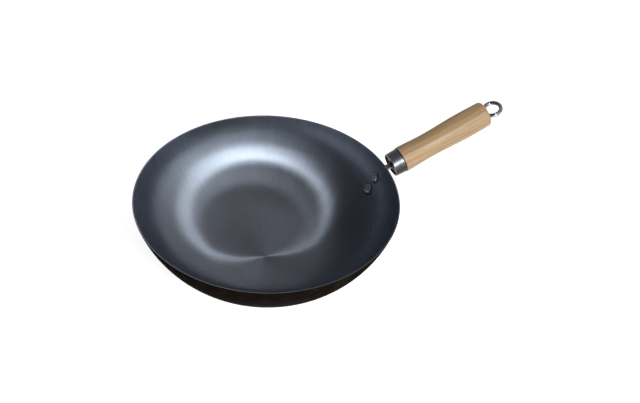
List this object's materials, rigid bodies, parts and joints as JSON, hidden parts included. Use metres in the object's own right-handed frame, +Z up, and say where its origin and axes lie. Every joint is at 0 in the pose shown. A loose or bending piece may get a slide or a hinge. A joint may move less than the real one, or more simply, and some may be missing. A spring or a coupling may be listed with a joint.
{
  "type": "carbon steel wok",
  "caption": "Round flat-based steel wok with a turned wooden handle, riveted strap, steel ferrule and a hanging eye, for stir-frying on a hob.",
  "frame": {"origin": "centre of the flat base's underside", "axes": "+Z up through the bowl's centre, +X from the bowl towards the handle's end"},
  "size_m": [0.4734, 0.3098, 0.145],
  "materials": {
    "bowl": "brushed from the middle outwards inside, dark brown coat outside",
    "handle_bracket": "bright zinc plate",
    "rivets": "satin steel",
    "ferrule": "polished",
    "grip": "turned pale wood, thin clear lacquer",
    "hanging_eye": "polished",
    "tang_nut": "zinc plate"
  },
  "bodies": {
    "root": {"bowl": "bowl", "handle_bracket": "handle_bracket", "rivets": "rivets", "ferrule": "ferrule", "grip": "grip", "hanging_eye": "hanging_eye", "tang_nut": "tang_nut"}
  },
  "joints": []
}
